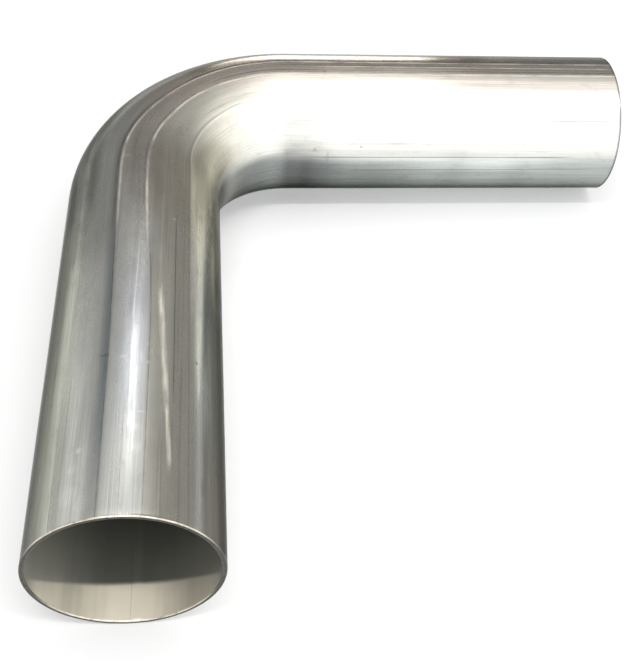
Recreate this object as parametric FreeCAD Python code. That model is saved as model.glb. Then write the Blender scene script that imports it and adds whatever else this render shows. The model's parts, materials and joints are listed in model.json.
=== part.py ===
# Mandrel bend tube: one round, thin walled steel tube bent through a right angle and lying flat.
# Frame, in millimetres: the origin is the centre of the near mouth. The near leg runs along +Y
# from it, the far leg runs out along +X, and +Z is up, square to the plane of the bend.
import FreeCAD, Part
import math
import os

from FreeCAD import Vector

# Tube stock
tube_diameter = 63.5
wall = 1.65

# Bend, measured on the tube's centreline
bend_radius = 63.5
bend_angle = 90.0
near_leg = 170.0
far_leg = 153.0

# Outer wall at the middle of the bend: how much thinner drawing it over the mandrel left it.
# The inner wall there is thicker by as much.
wall_thinning = 0.4

# Flattened bands at the top and bottom, where the two halves of the bending dies meet
die_band_width = 12.2
die_band_depth = 0.15

# Rolled weld bead that runs the whole length of the bore, near its lowest line
bead_width = 3.2
bead_height = 0.15
bead_turn = 4.5

# Broken edges at both mouths
deburr = 0.3

# How far a cutting tool runs past a face that it cuts
overrun = 1.0

# Sizes that follow from those above. The bead is rooted in the middle of the wall.
outer_radius = tube_diameter / 2
bore_radius = outer_radius - wall
bead_root = wall / 2
half_turn = math.radians(bend_angle) / 2
tangent_length = bend_radius * math.tan(half_turn)
corner_y = near_leg + tangent_length
bore_bend_radius = bend_radius - wall_thinning / (1 / math.cos(half_turn) - 1)
far_direction = Vector(math.sin(2 * half_turn), math.cos(2 * half_turn), 0)
UP = Vector(0, 0, 1)


def on_section(radius, degrees, y):
    """A point of a cross-section of the near leg: 0 degrees is +X and 90 degrees is up."""
    turn = math.radians(degrees)
    return Vector(radius * math.cos(turn), y, radius * math.sin(turn))


def arc(start, middle, end):
    return Part.Arc(start, middle, end).toShape()


def skin_section(y):
    """The tube's outline: two round sides joined by the flattened bands."""
    half_band = math.degrees(math.asin(die_band_width / 2 / outer_radius))
    side = 90 - half_band
    flat_radius = outer_radius - die_band_depth
    right = arc(
        on_section(outer_radius, -side, y),
        on_section(outer_radius, 0, y),
        on_section(outer_radius, side, y),
    )
    top = arc(
        on_section(outer_radius, side, y),
        on_section(flat_radius, 90, y),
        on_section(outer_radius, 180 - side, y),
    )
    left = arc(
        on_section(outer_radius, 180 - side, y),
        on_section(outer_radius, 180, y),
        on_section(outer_radius, 180 + side, y),
    )
    bottom = arc(
        on_section(outer_radius, 180 + side, y),
        on_section(flat_radius, 270, y),
        on_section(outer_radius, 360 - side, y),
    )
    return Part.Face(Part.Wire([right, top, left, bottom]))


def bore_section(y):
    ring = Part.Circle(Vector(0, y, 0), Vector(0, 1, 0), bore_radius)
    return Part.Face(Part.Wire([ring.toShape()]))


def bead_section(y):
    """A low crown on the bore's wall, closed by an arc inside the wall."""
    middle = 270 + bead_turn
    half_bead = math.degrees(bead_width / 2 / bore_radius)
    foot = bore_radius + bead_height
    crown = arc(
        on_section(foot, middle - half_bead, y),
        on_section(bore_radius - bead_height, middle, y),
        on_section(foot, middle + half_bead, y),
    )
    right = Part.LineSegment(
        on_section(foot, middle + half_bead, y),
        on_section(bore_radius + bead_root, middle + half_bead, y),
    ).toShape()
    root = arc(
        on_section(bore_radius + bead_root, middle + half_bead, y),
        on_section(bore_radius + bead_root, middle, y),
        on_section(bore_radius + bead_root, middle - half_bead, y),
    )
    left = Part.LineSegment(
        on_section(bore_radius + bead_root, middle - half_bead, y),
        on_section(foot, middle - half_bead, y),
    ).toShape()
    return Part.Face(Part.Wire([crown, right, root, left]))


def along_tube(section, radius, past_ends):
    """Carries a section along the near leg, round a bend of this centreline radius and out
    along the far leg. The legs lie on the tube's own axes, whatever the radius."""
    reach = radius * math.tan(half_turn)
    bend_start = corner_y - reach
    pivot = Vector(radius, bend_start, 0)
    profile = section(bend_start)
    near = profile.extrude(Vector(0, -(bend_start + past_ends), 0))
    bend = profile.revolve(pivot, UP, -bend_angle)
    profile_at_far_leg = profile.copy()
    profile_at_far_leg.rotate(pivot, UP, -bend_angle)
    far_length = far_leg + tangent_length - reach + past_ends
    far = profile_at_far_leg.extrude(far_direction * far_length)
    return near.fuse([bend, far]).removeSplitter()


def mouths():
    """Each mouth's centre and the direction that leaves the tube there."""
    corner = Vector(0, corner_y, 0)
    yield Vector(0, 0, 0), Vector(0, -1, 0)
    yield corner + far_direction * (tangent_length + far_leg), far_direction


def deburr_cutter(centre, out):
    """What breaking the edges takes off one mouth, inside and outside."""
    past = deburr + overrun
    inside = Part.makeCone(
        bore_radius - overrun,
        bore_radius + past,
        overrun + past,
        centre - out * (deburr + overrun),
        out,
    )
    block = Part.makeCylinder(outer_radius + past, overrun + deburr, centre - out * deburr, out)
    kept = Part.makeCone(
        outer_radius,
        outer_radius - past,
        past,
        centre - out * deburr,
        out,
    )
    return inside.fuse(block.cut(kept))


def bent_tube():
    skin = along_tube(skin_section, bend_radius, 0)
    bore = along_tube(bore_section, bore_bend_radius, overrun)
    bead = along_tube(bead_section, bore_bend_radius, 0)
    tube = skin.cut(bore).fuse(bead).removeSplitter()
    for centre, out in mouths():
        tube = tube.cut(deburr_cutter(centre, out))
    return tube.Solids[0]


def export(shape, node):
    os.makedirs("parts", exist_ok=True)
    shape.exportStep("parts/" + node + ".step")
    box = shape.optimalBoundingBox()
    print(node, "valid", shape.isValid(), "volume %.1f" % shape.Volume, "faces", len(shape.Faces))
    print("x %.3f to %.3f" % (box.XMin, box.XMax))
    print("y %.3f to %.3f" % (box.YMin, box.YMax))
    print("z %.3f to %.3f" % (box.ZMin, box.ZMax))


export(bent_tube(), "bent_tube")
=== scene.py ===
# Mandrel bend tube, dressed: bare drawn steel with die lines, draw marks and handling scratches.
# Places on the tube are given as a run, the distance along its centreline from the near mouth in
# millimetres, and a turn, the angle round the section in degrees: 0 faces the inside of the bend,
# 90 is the top line and 180 faces the outside of the bend.
import json
import math

import bpy
from mathutils import Matrix, Vector, noise


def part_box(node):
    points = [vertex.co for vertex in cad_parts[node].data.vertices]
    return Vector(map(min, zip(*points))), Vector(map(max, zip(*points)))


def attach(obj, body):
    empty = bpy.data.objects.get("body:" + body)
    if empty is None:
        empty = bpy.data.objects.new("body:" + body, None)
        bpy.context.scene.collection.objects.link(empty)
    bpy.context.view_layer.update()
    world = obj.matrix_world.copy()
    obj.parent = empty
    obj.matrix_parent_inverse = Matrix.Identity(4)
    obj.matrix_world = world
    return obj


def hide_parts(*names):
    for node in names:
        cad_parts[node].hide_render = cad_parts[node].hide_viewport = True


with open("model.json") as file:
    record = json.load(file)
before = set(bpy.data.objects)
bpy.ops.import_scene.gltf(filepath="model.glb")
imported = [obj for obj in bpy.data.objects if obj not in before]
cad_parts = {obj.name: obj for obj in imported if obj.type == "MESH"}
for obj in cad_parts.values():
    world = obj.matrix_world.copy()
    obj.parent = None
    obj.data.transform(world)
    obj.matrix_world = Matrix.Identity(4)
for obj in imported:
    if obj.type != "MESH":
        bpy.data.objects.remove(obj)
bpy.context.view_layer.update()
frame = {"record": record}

MM = 0.001


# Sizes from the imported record, in metres
def mount(name):
    return next(m for m in frame["record"]["mounts"] if m["name"] == name)


near_outside = mount("near_outside")
far_outside = mount("far_outside")
near_bore = mount("near_bore")
outer_radius = near_outside["dims"]["r_mm"] * MM
bore_radius = near_bore["dims"]["r_mm"] * MM
near_leg = near_outside["dims"]["length_mm"] * MM
far_leg = far_outside["dims"]["length_mm"] * MM
far_mouth = Vector(far_outside["pos_m"])
bend_radius = far_mouth.x - far_leg
bore_bend_radius = bend_radius - (near_bore["dims"]["length_mm"] * MM - near_leg)
corner_y = far_mouth.y
floor_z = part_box("bent_tube")[0].z
deburr = 0.3 * MM
wall = outer_radius - bore_radius

# Relief of the skin, in metres
play = 0.05 * MM
band_depth = 0.15 * MM
ridge_height = 0.012 * MM
ridge_half_turn = 0.55
wave_height = 0.035 * MM
wiper_depth = 0.015 * MM
bead_height = 0.15 * MM
bead_half_turn = 3.0
bead_turn = 274.5
# Depth in millimetres of the painted pool of light on the bore's lower wall
painted_pool_depth = 13.5

# The skin has one material for the near leg, one for the bend and one for the far leg, which meet
# at these runs in millimetres. Each holds only the marks that reach it.
bend_zone = (150, 262)


def step(value, start, end):
    """0 before start, 1 after end and smooth between."""
    share = min(max((value - start) / (end - start), 0.0), 1.0)
    return share * share * (3 - 2 * share)


def outer_line(run):
    """Turn of the die line on the outer side of the top, at a run in millimetres."""
    return 101.5 + 2.5 * step(run, 57, 155) - 8.5 * step(run, 160, 218)


def inner_line(run):
    """Turn of the die line on the inner side of the top."""
    return 78.7 + 5.8 * step(run, 75, 160) - 5.3 * step(run, 156, 209)


# The tube's path
def length_of(bend):
    """Whole length of a path along both legs whose bend has this radius."""
    return (corner_y - bend) + bend * math.pi / 2 + (far_mouth.x - bend)


def centre_and_inward(run, bend):
    """Centre of the section at a run in metres, and the direction to the inside of the bend."""
    bend_start = corner_y - bend
    arc = bend * math.pi / 2
    if run < bend_start:
        return Vector((0, run, 0)), Vector((1, 0, 0))
    if run < bend_start + arc:
        angle = (run - bend_start) / bend
        inward = Vector((math.cos(angle), -math.sin(angle), 0))
        pivot = Vector((bend, bend_start, 0))
        return pivot - inward * bend, inward
    rest = run - bend_start - arc
    return Vector((bend + rest, corner_y, 0)), Vector((0, -1, 0))


# Relief of the skin and of the bore
def mirrored(turn):
    """The turn of the same place on the upper half: the underside repeats the top."""
    return math.degrees(math.atan2(abs(math.sin(math.radians(turn))), math.cos(math.radians(turn))))


def bump_at(offset, half_width):
    """A smooth bump, 1 in the middle and 0 past its half width."""
    share = min(abs(offset) / half_width, 1.0)
    return (1 - share * share) ** 2


def skin_relief(run, turn):
    """How far the skin stands out from its nominal radius, in metres."""
    upper = mirrored(turn)
    outside, inside = outer_line(run), inner_line(run)
    across = (upper - inside) / (outside - inside)
    relief = -play
    if 0 < across < 1:
        relief -= band_depth * 4 * across * (1 - across)
    ridge = ridge_height * step(run, 100, 180)
    for line in (outside, inside):
        relief += ridge * bump_at(upper - line, ridge_half_turn)
        relief -= ridge * bump_at(upper - line - 2.2 * ridge_half_turn, 2 * ridge_half_turn)
    angle = math.radians(turn)
    where = Vector((run / 38, 2.2 * math.cos(angle), 2.2 * math.sin(angle)))
    relief += wave_height * (noise.noise(where) - 0.6)
    wiper = bump_at(run - 268, 2.2) + 0.7 * bump_at(run - 276, 1.6)
    relief -= wiper_depth * wiper * step(abs(upper - 5), 60, 30)
    return relief


def bore_relief(turn):
    """How far the bore's wall stands in from its nominal radius: the rolled weld bead."""
    off = (turn - bead_turn + 180) % 360 - 180
    return bead_height * bump_at(off, bead_half_turn)


# The mesh
def turns_round():
    """Turns of the mesh's lengthwise lines, close together where the die lines run."""
    fine, coarse = 0.4, 1.6
    turn, turns = -90.0, []
    while turn < 270 - fine / 2:
        turns.append(turn)
        upper = mirrored(turn)
        turn += fine if 77 < upper < 86 or 94 < upper < 106 else coarse
    return turns


def runs_along(total, spacing, bend_from, bend_to, bend_spacing):
    """Runs of the mesh's rings between the rounded edges of the two mouths."""
    first, second = 1.5 * deburr, 4 * deburr
    runs, run = [first], second
    while run < total - second - spacing / 2:
        runs.append(run)
        run += bend_spacing if bend_from < run < bend_to else spacing
    return runs + [total - second, total - first]


def skin_slot(run):
    """The material of the skin at a run in metres: near leg, bend or far leg."""
    return 0 if run < bend_zone[0] * MM else 4 if run < bend_zone[1] * MM else 5


def outer_rings():
    """Rings of the skin as (run, radius, material), from the near mouth to the far one."""
    total = length_of(bend_radius)
    edge = [(0.0, 1.0), (0.25, 0.45), (0.5, 0.16), (1.0, 0.0)]
    start = [(deburr * run, outer_radius - play - deburr * cut, 1) for run, cut in edge]
    bend_from = near_leg - 4 * MM
    bend_to = near_leg + bend_radius * math.pi / 2 + 10 * MM
    runs = runs_along(total, 3.2 * MM, bend_from, bend_to, 1.4 * MM)
    body = [(run, outer_radius, skin_slot(run)) for run in runs]
    end = [(total - run, radius, 1) for run, radius, _ in reversed(start)]
    return start + body + end


def bore_rings():
    """Rings of the bore, from the far mouth to the near one."""
    total = length_of(bore_bend_radius)
    edge = [(0.0, 1.0), (0.25, 0.45), (0.5, 0.16), (1.0, 0.0)]
    start = [(deburr * run, bore_radius + deburr * cut, 1) for run, cut in edge]
    runs = runs_along(total, 7 * MM, near_leg, near_leg + bore_bend_radius * math.pi / 2, 4 * MM)
    body = [(run, bore_radius, 2) for run in runs]
    end = [(total - run, radius, 1) for run, radius, _ in reversed(start)]
    return list(reversed(start + body + end))


def ring_points(run, radius, bend, relief, turns):
    centre, inward = centre_and_inward(run, bend)
    for turn in turns:
        angle = math.radians(turn)
        out = inward * math.cos(angle) + Vector((0, 0, 1)) * math.sin(angle)
        yield centre + out * (radius + relief(run / MM, turn))


def tube_mesh():
    """The whole tube as one closed mesh: skin, both cut ends and bore."""
    turns = turns_round()
    half_face = deburr * 1.5
    far_run, near_run = length_of(bend_radius), 0.0
    face_radii = (outer_radius - half_face, bore_radius + half_face)
    rings = [(r, radius, bend_radius, slot, skin_relief) for r, radius, slot in outer_rings()]
    rings += [(far_run, radius, bend_radius, 3, None) for radius in face_radii]
    rings += [
        (r, radius, bore_bend_radius, slot, lambda run, turn: -bore_relief(turn))
        for r, radius, slot in bore_rings()
    ]
    rings += [(near_run, radius, bend_radius, 3, None) for radius in reversed(face_radii)]

    points, places, lines = [], [], []
    for run, radius, bend, slot, relief in rings:
        shape = relief
        if slot in (1, 3):
            shape = edge_relief if relief is skin_relief else no_relief
        points += ring_points(run, radius, bend, shape, turns)
        for turn in turns:
            angle = math.radians(turn)
            upper = mirrored(turn)
            places.append((run / MM, math.cos(angle), math.sin(angle)))
            side = 1.0 if radius > bore_radius + wall / 2 else -1.0
            lines.append((upper - outer_line(run / MM), upper - inner_line(run / MM), side))

    count, faces, slots = len(turns), [], []
    for ring in range(len(rings)):
        after = (ring + 1) % len(rings)
        pair = {rings[ring][3], rings[after][3]}
        slot = next(slot for slot in (0, 4, 5, 2, 1, 3) if slot in pair)
        for i in range(count):
            j = (i + 1) % count
            faces.append((ring * count + i, ring * count + j, after * count + j, after * count + i))
            slots.append(slot)
    mesh = bpy.data.meshes.new("bent_tube_dressed")
    mesh.from_pydata(points, [], faces)
    mesh.polygons.foreach_set("material_index", slots)
    mesh.polygons.foreach_set("use_smooth", [True] * len(faces))
    keep_vectors(mesh, "run_round", places)
    keep_vectors(mesh, "off_lines", lines)
    mesh.validate()
    return mesh


def edge_relief(run, turn):
    """The rounded edge follows the flattened band and leaves out the fine relief."""
    upper = mirrored(turn)
    outside, inside = outer_line(run), inner_line(run)
    across = (upper - inside) / (outside - inside)
    return -band_depth * 4 * across * (1 - across) if 0 < across < 1 else 0.0


def no_relief(run, turn):
    return 0.0


def keep_vectors(mesh, name, vectors):
    """Stores one vector a vertex, for the materials to read."""
    layer = mesh.attributes.new(name, "FLOAT_VECTOR", "POINT")
    layer.data.foreach_set("vector", [number for vector in vectors for number in vector])


# Material nodes
class Nodes:
    """Short names for the nodes that the materials are built from."""

    def __init__(self, name):
        self.material = bpy.data.materials.new(name)
        self.material.use_nodes = True
        self.tree = self.material.node_tree
        self.shader = self.tree.nodes["Principled BSDF"]

    def node(self, kind, **settings):
        made = self.tree.nodes.new(kind)
        for key, value in settings.items():
            setattr(made, key, value)
        return made

    def set(self, socket, value):
        """Links a socket to another node's output, or gives it a plain value."""
        if isinstance(value, bpy.types.NodeSocket):
            self.tree.links.new(value, socket)
        else:
            socket.default_value = value

    def math(self, operation, *values):
        made = self.node("ShaderNodeMath", operation=operation)
        for socket, value in zip(made.inputs, values):
            self.set(socket, value)
        return made.outputs[0]

    def fit(self, value, low, high, to_low=0.0, to_high=1.0, smooth=True):
        """The value mapped from one range to another and held at its ends."""
        kind = "SMOOTHSTEP" if smooth else "LINEAR"
        made = self.node("ShaderNodeMapRange", interpolation_type=kind)
        names = ("Value", "From Min", "From Max", "To Min", "To Max")
        for name, number in zip(names, (value, low, high, to_low, to_high)):
            self.set(made.inputs[name], number)
        return made.outputs["Result"]

    def product(self, first, *others):
        for other in others:
            first = self.math("MULTIPLY", first, other)
        return first

    def scaled(self, value, mask, times):
        """The value, multiplied by this many times where the mask is 1."""
        return self.math("MULTIPLY", value, self.math("MULTIPLY_ADD", mask, times - 1.0, 1.0))

    def total(self, first, *others):
        for other in others:
            first = self.math("ADD", first, other)
        return first

    def vector(self, x, y, z):
        made = self.node("ShaderNodeCombineXYZ")
        for socket, value in zip(made.inputs, (x, y, z)):
            self.set(socket, value)
        return made.outputs[0]

    def parts(self, attribute):
        """The three numbers of a vector kept on the mesh."""
        source = self.node("ShaderNodeAttribute", attribute_name=attribute)
        split = self.node("ShaderNodeSeparateXYZ")
        self.set(split.inputs[0], source.outputs["Vector"])
        return split.outputs[0], split.outputs[1], split.outputs[2]

    def noise(self, vector, scale, detail=3.0, roughness=0.5):
        made = self.node("ShaderNodeTexNoise")
        self.set(made.inputs["Vector"], vector)
        made.inputs["Scale"].default_value = scale
        made.inputs["Detail"].default_value = detail
        made.inputs["Roughness"].default_value = roughness
        return made.outputs["Fac"]

    def mix(self, factor, first, second):
        """A colour between two others."""
        made = self.node("ShaderNodeMix", data_type="RGBA")
        self.set(made.inputs[0], factor)
        for socket, colour in ((made.inputs[6], first), (made.inputs[7], second)):
            if isinstance(colour, tuple):
                colour = (*colour, 1.0)
            self.set(socket, colour)
        return made.outputs[2]

    def bump(self, height, distance, strength=1.0):
        made = self.node("ShaderNodeBump")
        self.set(made.inputs["Height"], height)
        made.inputs["Distance"].default_value = distance
        made.inputs["Strength"].default_value = strength
        return made.outputs["Normal"]


class TubeNodes(Nodes):
    """Nodes that also know where on the tube they are."""

    def __init__(self, name, zone=(-100, 600)):
        super().__init__(name)
        self.zone = zone
        self.run, self.inward, self.up = self.parts("run_round")
        turn = self.math("ARCTAN2", self.math("MULTIPLY", self.inward, -1.0), self.up)
        self.turn = self.math("ADD", self.math("DEGREES", turn), 90.0)

    def grain_place(self, stretch):
        """A place in millimetres on the tube unbent, drawn out lengthwise by the stretch."""
        radius = outer_radius / MM
        along = self.math("DIVIDE", self.run, stretch)
        return self.vector(
            along,
            self.math("MULTIPLY", self.inward, radius),
            self.math("MULTIPLY", self.up, radius),
        )

    def reaches(self, start, end):
        """Whether a mark between two runs reaches the zone that this material covers."""
        margin = 8.0
        return start < self.zone[1] + margin and end > self.zone[0] - margin

    def streak(self, start, end, half_width, fade=6.0):
        """A mask on a line from one (run, turn) to another. Its half width is in degrees."""
        share = self.fit(self.run, start[0], end[0], smooth=False)
        line = self.math("MULTIPLY_ADD", share, end[1] - start[1], start[1])
        off = self.math("ABSOLUTE", self.math("SUBTRACT", self.turn, line))
        across = self.fit(off, half_width, 0.0)
        begins = self.fit(self.run, start[0] - fade, start[0] + fade)
        ends = self.fit(self.run, end[0] + fade, end[0] - fade)
        return self.product(across, begins, ends)

    def band(self, low, high, soft):
        """A mask between two turns."""
        return self.product(
            self.fit(self.turn, low - soft, low + soft),
            self.fit(self.turn, high + soft, high - soft),
        )

    def stretch(self, start, end, soft):
        """A mask between two runs."""
        return self.product(
            self.fit(self.run, start - soft, start + soft),
            self.fit(self.run, end + soft, end - soft),
        )


def skin_steel(name, zone):
    """The drawn outside: lengthwise grain, die lines, bands of painted shade and painted reflection,
    and handling marks.
    """
    n = TubeNodes(name, zone)
    off_outer, off_inner, _ = n.parts("off_lines")
    broad_grain = n.noise(n.grain_place(45), 0.3, 3.0, 0.55)
    fine_grain = n.noise(n.grain_place(60), 1.6, 3.0, 0.65)
    mottle = n.noise(n.grain_place(1.8), 0.22, 5.0, 0.62)
    scratch_grain = n.noise(n.grain_place(120), 1.7, 1.0)
    broken = n.noise(n.grain_place(8), 0.9, 2.0)

    grain = n.total(n.product(broad_grain, 0.5), n.product(fine_grain, 0.5))
    tone = n.fit(grain, 0.38, 0.62, 0.64, 0.76)
    tone = n.scaled(tone, n.fit(mottle, 0.52, 0.72), 0.9)
    tone = n.scaled(tone, n.fit(scratch_grain, 0.66, 0.73), 0.8)
    tone = n.scaled(tone, n.fit(scratch_grain, 0.34, 0.27), 1.2)

    # Painted shade and painted reflection: lengthwise bands darker or lighter than the grain.
    tone = painted_reflection_bands(n, tone)
    tone, worn = die_lines(n, tone, off_outer, off_inner, n.fit(broken, 0.3, 0.62, 0.25, 1.0))
    tone, rubbed = handling_marks(n, tone, worn, n.fit(broken, 0.35, 0.58, 0.5, 1.0))

    colour = n.node("ShaderNodeVectorMath", operation="SCALE")
    tint = n.mix(n.product(rubbed, 0.7), skin_tint(n, off_outer), (1.06, 1.0, 0.86))
    n.set(colour.inputs[0], tint)
    n.set(colour.inputs["Scale"], n.math("MINIMUM", tone, 0.93))
    rough = n.fit(grain, 0.36, 0.64, 0.27, 0.19)
    rough = n.math("ADD", rough, n.product(n.fit(mottle, 0.4, 0.7), 0.05))
    rough = n.math("ADD", rough, n.product(rubbed, 0.4))
    squeezed = n.product(n.band(-40, 58, 14), n.stretch(160, 225, 30))
    rough = n.math("ADD", rough, n.product(squeezed, 0.18))
    n.set(n.shader.inputs["Base Color"], colour.outputs[0])
    n.set(n.shader.inputs["Roughness"], rough)
    n.shader.inputs["Metallic"].default_value = 1.0
    n.shader.inputs["Specular Tint"].default_value = (0.25, 0.25, 0.24, 1.0)
    height = n.total(n.product(fine_grain, 0.8), n.product(mottle, 0.2))
    n.set(n.shader.inputs["Normal"], n.bump(height, 0.01 * MM))
    return n.material


def painted_reflection_bands(n, tone):
    """Broad lengthwise bands of painted shade and painted reflection, darker or lighter, that stand in
    for what the steel mirrors. Each is a turn from and to, its softness, a run from and to, its
    softness, and how many times lighter it is."""
    # Each row paints shade (under 1) or light (over 1) into the tone.
    bands = (
        (123, 140, 5, 138, 206, 15, 0.52),
        (137, 160, 5, -60, 200, 25, 0.54),
        (112, 124, 4, -20, 30, 20, 1.15),
        (131, 138, 4, -60, 45, 20, 0.8),
        (108, 129, 5, 45, 110, 18, 1.42),
        (128, 140, 4, 114, 138, 8, 0.72),
        (143, 154, 4, 138, 170, 8, 0.7),
        (103, 112, 3, -20, 45, 20, 1.25),
        (91, 101, 1.5, -20, 150, 20, 1.2),
        (79.5, 86, 1, 20, 150, 12, 1.12),
        (79, 92, 3, 52, 78, 10, 1.2),
        (78, 97, 3, -20, 14, 12, 0.85),
        (72, 104, 8, -5, 1.5, 2.5, 1.3),
        (64, 78, 3, 35, 110, 20, 1.2),
        (76, 100, 6, 145, 225, 25, 0.85),
        (74, 98, 4, 134, 182, 12, 0.82),
        (100, 113, 3, 228, 255, 8, 0.55),
        (99, 112, 3, 336, 362, 8, 0.62),
        (81.5, 88, 2.5, 285, 345, 14, 1.6),
        (33, 48, 4, 135, 190, 15, 0.68),
        (29, 38, 4, 118, 156, 10, 1.3),
        (-10, 25, 3, 106, 149, 8, 0.6),
        (24, 29, 2, 142, 156, 5, 1.6),
        (46.5, 51, 1.5, 90, 166, 15, 1.45),
        (20, 30, 5, 158, 180, 12, 1.32),
        (-60, 11, 4, 158, 200, 12, 0.45),
        (58, 78, 4, 208, 250, 14, 0.7),
        (10, 74, 5, 240, 480, 30, 1.3),
        (62, 78, 4, 340, 480, 20, 0.7),
        (-25, 41.5, 5, -60, 118, 28, 0.31),
        (33, 44, 4, 45, 115, 18, 1.5),
        (37, 49, 4, -60, 50, 20, 0.76),
        (42, 48, 2.5, 85, 120, 12, 0.8),
        (52, 77, 5, 135, 185, 15, 0.86),
        (-60, 9, 5, 205, 262, 25, 0.4),
        (-60, 3, 7, 258, 330, 25, 0.42),
        (-60, 1, 9, 325, 460, 30, 0.66),
        (-60, 4, 6, 264, 288, 12, 0.55),
        (2, 20, 7, 264, 282, 13, 0.62),
        (16, 40, 9, 262, 278, 14, 0.8),
        (-8, 8, 4, 296, 385, 18, 1.35),
        (-50, 12, 6, 342, 352, 8, 0.86),
        (-50, 4, 6, 372, 382, 6, 0.9),
        (-80, 110, 5, 421.9, 440, 0.5, 0.3),
    )
    for low, high, soft, start, end, fade, times in bands:
        if not n.reaches(start - fade, end + fade):
            continue
        mask = n.product(n.band(low, high, soft), n.stretch(start, end, fade))
        tone = n.scaled(tone, mask, times)
    return tone


def die_lines(n, tone, off_outer, off_inner, wander):
    """The fine ridges where the die halves met, each light with a dark line beside it. The light lines
    are partly rubbed metal and partly a painted highlight, the dark lines and the strip beside the outer
    line painted shade. They show most in the bend."""
    # Painted shade: a darker strip beside the outer die line.
    beside = n.product(n.fit(off_outer, 0.0, 1.4), n.fit(off_outer, 8.0, 2.0))
    tone = n.scaled(tone, n.product(beside, n.stretch(22, 190, 18)), 0.7)
    in_bend = n.fit(n.run, 105, 155)
    in_leg = n.fit(n.run, 155, 105)
    # Light rows paint a highlight on the ridge, partly rubbed metal that worn makes rougher; dark rows
    # paint shade.
    lines = (
        (off_outer, -0.2, 1.7, 1.65, in_bend),
        (off_outer, 2.4, 1.6, 0.66, in_bend),
        (off_outer, 0.8, 0.8, 0.6, in_leg),
        (off_inner, 0.2, 1.5, 1.7, in_bend),
        (off_inner, 2.1, 1.3, 0.7, in_bend),
        (off_inner, -1.0, 0.6, 0.6, in_leg),
    )
    worn = 0.0
    for off, place, half_width, times, where in lines:
        away = n.math("ABSOLUTE", n.math("SUBTRACT", off, place))
        mask = n.product(n.fit(away, half_width, 0.0), wander, where)
        tone = n.scaled(tone, mask, times)
        worn = n.math("MAXIMUM", worn, n.product(mask, 0.5)) if times > 1 else worn
    return tone, worn


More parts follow.
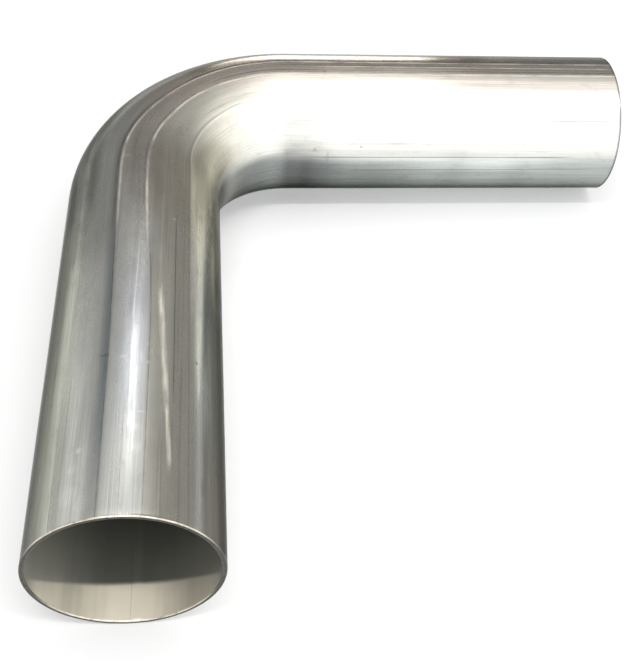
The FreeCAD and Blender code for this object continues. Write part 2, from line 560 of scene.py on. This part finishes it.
def handling_marks(n, tone, worn, broken):
    """Scratches and rubs as (run, turn) from and to, half a width in degrees and a lightness, one of them
    a painted highlight, then the clamp's bars across the tube, then nicks. Light ones are matt."""
    rubbed = worn
    streaks = (
        ((21, 63.6), (44, 66.3), 2.1, 1.7),
        ((44, 66.3), (92, 72.0), 2.8, 1.4),
        ((84, 72.0), (112, 73.0), 1.6, 1.35),
        ((58, 74.6), (76, 75.4), 1.0, 1.35),
        ((48, 62.0), (131, 62.6), 0.5, 0.4),
        # A painted highlight: a thin light line that carries the top's highlight on past the lamp's
        # reflection.
        ((78, 88.4), (122, 87.0), 0.9, 1.3),
        ((50, 43.5), (64, 43.5), 1.2, 1.7),
        ((74, 43.5), (140, 42.0), 1.3, 1.4),
        ((-5, 51.0), (165, 52.2), 0.9, 0.8),
        ((165, 52.2), (238, 57.0), 1.1, 0.72),
        ((165, 50.2), (238, 55.2), 1.2, 1.3),
        ((-5, 57.5), (60, 57.0), 1.2, 0.84),
        ((-5, 68.0), (30, 69.0), 1.5, 0.84),
        ((30, 119.0), (75, 116.0), 0.5, 1.35),
        ((8, 108.0), (22, 111.0), 0.6, 1.25),
        ((225, 97.5), (400, 97.0), 1.4, 0.55),
        ((240, 94.0), (420, 93.5), 0.6, 0.72),
        ((265, 91.0), (360, 90.0), 0.8, 0.66),
        ((300, 100.5), (425, 100.0), 0.8, 0.66),
        ((300, 87.0), (420, 86.0), 0.8, 0.7),
        ((280, 89.2), (420, 88.6), 0.8, 1.5),
        ((235, 84.6), (425, 83.0), 0.9, 0.5),
        ((250, 80.6), (425, 79.8), 0.9, 1.5),
        ((282, 6.2), (397, 6.0), 0.8, 0.4),
        ((272, 37.2), (300, 37.0), 0.6, 0.75),
        ((385, 37.6), (418, 37.4), 0.7, 0.66),
        ((300, -7.5), (410, -6.5), 0.7, 0.55),
    )
    for start, end, half_width, times in streaks:
        if not n.reaches(start[0] - 6, end[0] + 6):
            continue
        mask = n.streak(start, end, half_width)
        if times > 1:
            mask = n.product(mask, broken)
        tone = n.scaled(tone, mask, times)
        rubbed = n.math("MAXIMUM", rubbed, n.product(mask, 0.7)) if times >= 1.4 else rubbed
    bars = (
        (24.6, 80, 85.5, 2.4, 1.12),
        (32.0, 80.5, 85, 1.8, 1.12),
        (38.0, 78, 84.5, 0.6, 1.18),
        (60.2, 81, 87.5, 0.8, 1.3),
        (60.8, 90.5, 93.5, 1.2, 1.4),
        (62.0, 102, 107, 0.8, 0.5),
        (63.8, 70, 75.5, 2.2, 1.35),
        (268.5, -50, 14, 7.0, 0.85),
        (277.0, -50, 8, 5.0, 0.85),
        (286.0, 79, 83, 1.2, 0.6),
        (287.0, 2, 12, 1.0, 0.8),
    )
    for run, low, high, half_width, times in bars:
        if not n.reaches(run, run):
            continue
        away = n.math("ABSOLUTE", n.math("SUBTRACT", n.run, run))
        mask = n.product(n.fit(away, half_width, 0.0), n.band(low, high, 2.0), broken)
        tone = n.scaled(tone, mask, times)
        rubbed = n.math("MAXIMUM", rubbed, n.product(mask, 0.6)) if times >= 1.4 else rubbed
    nicks = (
        (64.8, 45.0, 0.9, 0.3),
        (132.0, 64.0, 0.8, 2.0),
        (25.5, 115.0, 1.5, 1.3),
        (19.0, 118.0, 2.6, 1.15),
        (10.0, 120.0, 5.0, 1.12),
        (6.0, 111.0, 3.5, 1.15),
        (66.5, 78.6, 0.7, 2.0),
        (58.5, 78.3, 0.7, 2.0),
        (168.0, 99.5, 1.6, 1.3),
        (190.0, 92.0, 0.9, 1.3),
        (302.0, 15.5, 0.8, 0.5),
        (281.0, 13.0, 1.3, 0.75),
    )
    for run, turn, radius, times in nicks:
        if not n.reaches(run, run):
            continue
        along = n.math("SUBTRACT", n.run, run)
        around = n.product(n.math("SUBTRACT", n.turn, turn), math.radians(outer_radius / MM))
        away = n.node("ShaderNodeVectorMath", operation="LENGTH")
        n.set(away.inputs[0], n.vector(along, around, 0.0))
        mask = n.product(n.fit(away.outputs["Value"], radius, radius * 0.3), broken)
        tone = n.scaled(tone, mask, times)
    return tone, rubbed


def skin_tint(n, off_outer):
    """Warm in the bend and along the top of the far leg, olive and blue bands on the near leg."""
    tint = (1.0, 1.0, 0.94)
    regions = (
        (n.product(n.band(60, 104, 8), n.stretch(140, 500, 40)), (1.07, 1.0, 0.9)),
        (n.product(n.band(72, 112, 8), n.stretch(205, 370, 20)), (1.11, 1.0, 0.88)),
        (n.product(n.band(48, 78, 4), n.stretch(-20, 240, 20)), (1.03, 1.0, 0.87)),
        (n.product(n.band(15, 45, 5), n.stretch(-20, 30, 12)), (1.03, 1.0, 0.9)),
        (n.product(n.band(44, 82, 5), n.stretch(134, 176, 14)), (1.08, 1.0, 0.84)),
        (n.product(n.band(14, 49, 6), n.stretch(120, 225, 30)), (1.05, 1.0, 0.84)),
        (n.product(n.band(125, 148, 6), n.stretch(-20, 130, 30)), (0.985, 1.0, 0.88)),
        (n.product(n.band(80, 97, 4), n.stretch(35, 100, 20)), (0.98, 1.0, 1.02)),
        (n.product(n.band(-70, 6, 8), n.stretch(225, 500, 30)), (0.94, 1.0, 0.97)),
    )
    for mask, colour in regions:
        tint = n.mix(mask, tint, colour)
    # A bluish tint on the painted shade beside the outer die line.
    beside = n.product(n.fit(off_outer, 0.0, 1.4), n.fit(off_outer, 8.0, 2.0))
    return n.mix(n.product(beside, n.stretch(20, 118, 20)), tint, (0.93, 1.0, 1.02))


def cut_steel():
    """The sawn faces of both ends, dull and darkened."""
    n = TubeNodes("cut_steel")
    marks = n.noise(n.grain_place(1.0), 0.5, 4.0, 0.6)
    dark, light = (0.06, 0.055, 0.05), (0.12, 0.115, 0.1)
    n.set(n.shader.inputs["Base Color"], n.mix(n.fit(marks, 0.3, 0.7), dark, light))
    n.set(n.shader.inputs["Roughness"], n.fit(marks, 0.3, 0.7, 0.35, 0.5))
    n.shader.inputs["Metallic"].default_value = 1.0
    n.set(n.shader.inputs["Normal"], n.bump(marks, 0.03 * MM))
    return n.material


def edge_steel():
    """The deburred edges: a painted highlight on the outer edge's top and the inner edge's bottom at the
    near mouth, and dull elsewhere."""
    n = TubeNodes("edge_steel")
    _, _, side = n.parts("off_lines")
    marks = n.noise(n.grain_place(1.0), 0.35, 3.0, 0.6)
    at_near_end = n.fit(n.run, 40, 20)
    # Painted highlight: pale metal where the near mouth's edges face upwards.
    painted_edge_highlight = n.fit(n.product(n.up, side), 0.3, 0.85)
    painted_edge_highlight = n.product(painted_edge_highlight, at_near_end, n.fit(marks, 0.3, 0.6, 0.6, 1.0))
    n.set(n.shader.inputs["Base Color"], n.mix(painted_edge_highlight, (0.12, 0.115, 0.1), (0.93, 0.87, 0.72)))
    n.set(n.shader.inputs["Roughness"], n.fit(marks, 0.3, 0.7, 0.25, 0.4))
    n.shader.inputs["Metallic"].default_value = 1.0
    n.set(n.shader.inputs["Normal"], n.bump(marks, 0.02 * MM))
    return n.material


def bore_steel():
    """The bore: smooth strip steel, with a painted pool of light on the lower side of each mouth, painted
    shade deeper in, and the weld bead's dark line along it."""
    n = TubeNodes("bore_steel")
    grain = n.noise(n.grain_place(25), 0.5, 3.0, 0.55)
    cloud = n.noise(n.grain_place(1.5), 0.05, 3.0, 0.5)
    tone = n.scaled(0.19, n.fit(grain, 0.35, 0.68), 1.06)
    tone = n.scaled(tone, n.fit(cloud, 0.4, 0.7), 1.12)
    bore_end = length_of(bore_bend_radius) / MM
    from_mouth = n.math("MINIMUM", n.run, n.math("SUBTRACT", bore_end, n.run))
    # Painted shade: darker deeper in from each mouth.
    tone = n.scaled(tone, n.fit(from_mouth, 12, 60), 0.5)
    tone = n.product(tone, n.fit(n.inward, -0.3, -0.95, 1.0, 1.9), n.fit(n.inward, 0.4, 0.95, 1.0, 1.4))
    # Painted light: a pool on the lower wall near each mouth, ending at a line like the upper rim's
    # shadow.
    below = n.math("MAXIMUM", n.math("MULTIPLY", n.up, -1.0), 0.0)
    past = n.math("SUBTRACT", from_mouth, n.math("MULTIPLY", below, painted_pool_depth))
    painted_pool = n.product(n.fit(past, 1.0, -1.0), n.fit(n.up, -0.05, -0.5))
    tone = n.scaled(tone, painted_pool, 3.2)
    # The painted pool is brighter in its middle and darker towards its sides.
    middle = n.product(n.fit(n.inward, 0.5, 0.05), n.fit(n.inward, -0.6, 0.0))
    tone = n.scaled(tone, n.product(painted_pool, middle), 1.6)
    aside = n.fit(n.math("ABSOLUTE", n.inward), 0.4, 0.7)
    tone = n.scaled(tone, n.product(painted_pool, aside), 0.62)
    bead = n.math("ADD", n.turn, 360 - bead_turn)
    on_bead = n.product(n.fit(bead, -4.6, -3.4), n.fit(bead, 3.4, 1.8))
    tone = n.scaled(tone, on_bead, 1.1)
    edge = n.fit(n.math("ABSOLUTE", n.math("ADD", bead, 4.6)), 1.1, 0.1)
    shown = n.product(n.fit(grain, 0.3, 0.55, 0.4, 1.0), n.fit(painted_pool, 0, 1, 0.25, 1.0))
    tone = n.scaled(tone, n.product(edge, shown), 0.62)
    colour = n.node("ShaderNodeVectorMath", operation="SCALE")
    # Warmer colour in the painted pool of light.
    n.set(colour.inputs[0], n.mix(painted_pool, (1.0, 1.0, 0.87), (1.08, 1.0, 0.82)))
    n.set(colour.inputs["Scale"], n.math("MINIMUM", tone, 0.92))
    n.set(n.shader.inputs["Base Color"], colour.outputs[0])
    n.set(n.shader.inputs["Roughness"], n.fit(grain, 0.3, 0.7, 0.45, 0.55))
    n.shader.inputs["Metallic"].default_value = 0.35
    n.set(n.shader.inputs["Normal"], n.bump(grain, 0.03 * MM))
    return n.material


def dressed_tube():
    tube = bpy.data.objects.new("bent_tube_dressed", tube_mesh())
    bpy.context.scene.collection.objects.link(tube)
    start, end = bend_zone
    near_skin = skin_steel("near_leg_skin", (0, start))
    bend_skin = skin_steel("bend_skin", (start, end))
    far_skin = skin_steel("far_leg_skin", (end, length_of(bend_radius) / MM))
    for material in (near_skin, edge_steel(), bore_steel(), cut_steel(), bend_skin, far_skin):
        tube.data.materials.append(material)
    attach(tube, "root")
    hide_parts("bent_tube")
    return tube


# The room: how bright it is, and how high the light's lower edge is at the rear and at the sides
dome_dark, dome_bright, dome_left = 0.28, 1.4, 0.2
dome_rear_edge, dome_front_edge, dome_softness = 53.5, -5.0, 12.0


def floor():
    """A plain pale floor that reads as white to the camera and keeps the tube's shadow."""
    half = 12.0
    corners = [(-half, -half), (half, -half), (half, half), (-half, half)]
    mesh = bpy.data.meshes.new("floor")
    mesh.from_pydata([(x, y, floor_z) for x, y in corners], [], [(0, 1, 2, 3)])
    sheet = bpy.data.objects.new("floor", mesh)
    bpy.context.scene.collection.objects.link(sheet)
    n = Nodes("pale_floor")
    n.shader.inputs["Base Color"].default_value = (0.78, 0.78, 0.78, 1.0)
    n.shader.inputs["Roughness"].default_value = 0.9
    n.shader.inputs["Specular IOR Level"].default_value = 0.0
    seen = n.node("ShaderNodeLightPath")
    rays = [seen.outputs[name] for name in ("Is Camera Ray", "Is Glossy Ray", "Is Transmission Ray")]
    n.shader.inputs["Emission Color"].default_value = (1.0, 1.0, 1.0, 1.0)
    lift = 0.2
    n.set(n.shader.inputs["Emission Strength"], n.product(n.total(*rays), lift))
    mesh.materials.append(n.material)


def dome():
    """An even grey room that opens overhead and in front into a large soft white light."""
    room = bpy.data.worlds.new("room")
    bpy.context.scene.world = room
    room.use_nodes = True
    tree = room.node_tree
    background = tree.nodes["Background"]
    background.inputs["Color"].default_value = (1.0, 1.0, 1.0, 1.0)

    def link(made, *values):
        for socket, value in zip(made.inputs, values):
            if isinstance(value, bpy.types.NodeSocket):
                tree.links.new(value, socket)
            else:
                socket.default_value = value
        return made.outputs[0]

    def sum_of(operation, *values):
        made = tree.nodes.new("ShaderNodeMath")
        made.operation = operation
        return link(made, *values)

    direction = tree.nodes.new("ShaderNodeTexCoord").outputs["Generated"]
    split = tree.nodes.new("ShaderNodeSeparateXYZ")
    link(split, direction)
    right, rear, up = split.outputs
    elevation = sum_of("DEGREES", sum_of("ARCSINE", up))
    level = sum_of("SQRT", sum_of("SUBTRACT", 1.0001, sum_of("MULTIPLY", up, up)))
    rise = tree.nodes.new("ShaderNodeMapRange")
    rise.interpolation_type = "SMOOTHSTEP"
    heading = sum_of("DIVIDE", rear, level)
    edge = link(rise, heading, -0.25, 0.75, dome_front_edge, dome_rear_edge)
    lit = tree.nodes.new("ShaderNodeMapRange")
    lit.interpolation_type = "SMOOTHSTEP"
    over_edge = sum_of("SUBTRACT", elevation, edge)
    opening = link(lit, over_edge, -dome_softness, dome_softness, 0.0, 1.0)
    side = tree.nodes.new("ShaderNodeMapRange")
    side.interpolation_type = "SMOOTHSTEP"
    opening = sum_of("MULTIPLY", opening, link(side, right, -0.8, 0.2, dome_left, 1.0))
    strength = sum_of("MULTIPLY_ADD", opening, dome_bright - dome_dark, dome_dark)
    tree.links.new(strength, background.inputs["Strength"])


def soft_light(name, place, target, width, height, radiance):
    """A rectangular lamp that faces its target and looks this bright in a mirror."""
    lamp = bpy.data.lights.new(name, "AREA")
    lamp.shape = "RECTANGLE"
    lamp.size = width
    lamp.size_y = height
    lamp.energy = radiance * math.pi * width * height
    held = bpy.data.objects.new(name, lamp)
    held.location = place
    held.rotation_mode = "QUATERNION"
    held.rotation_quaternion = (Vector(target) - Vector(place)).to_track_quat("-Z", "Y")
    held.visible_camera = False
    bpy.context.scene.collection.objects.link(held)


def lights():
    middle = (0.1, 0.13, 0.0)
    soft_light("overhead_strip", (0.1, -0.44, 2.0), (0.1, 0.0, 0.0), 1.6, 0.08, 32.0)
    soft_light("rear_strip", (-0.02, 1.05, 1.25), middle, 0.04, 0.2, 8.0)
    soft_light("rear_low", (0.19, 1.7, 0.11), (0.15, 0.23, 0.02), 0.5, 0.24, 9.0)
    soft_light("left_rear", (-1.64, 0.95, 0.75), middle, 0.9, 1.1, 0.4)


# The camera, at the photograph's viewing angle
def camera():
    place = Vector((0.02575, -0.17198, 0.29817))
    heading, elevation, roll = math.radians(8.372), math.radians(42.727), math.radians(-5.255)
    photo_width, photo_height = 639, 670
    focal_pixels, centre_row = 1055.1, 245
    level = math.cos(elevation)
    forward = Vector(
        (math.sin(heading) * level, math.cos(heading) * level, -math.sin(elevation))
    )
    right = forward.cross(Vector((0, 0, 1))).normalized()
    down = forward.cross(right)
    right, down = (
        right * math.cos(roll) + down * math.sin(roll),
        down * math.cos(roll) - right * math.sin(roll),
    )
    lens = bpy.data.cameras.new("camera")
    lens.sensor_width = 36.0
    long_side = max(photo_width, photo_height)
    lens.lens = focal_pixels / long_side * lens.sensor_width
    lens.shift_y = (centre_row - photo_height / 2) / long_side
    lens.clip_start = 0.01
    held = bpy.data.objects.new("camera", lens)
    held.matrix_world = Matrix.Translation(place) @ Matrix((right, -down, -forward)).transposed().to_4x4()
    bpy.context.scene.collection.objects.link(held)
    bpy.context.scene.camera = held


bpy.context.scene.view_settings.view_transform = "Standard"
dressed_tube()
floor()
dome()
lights()
camera()
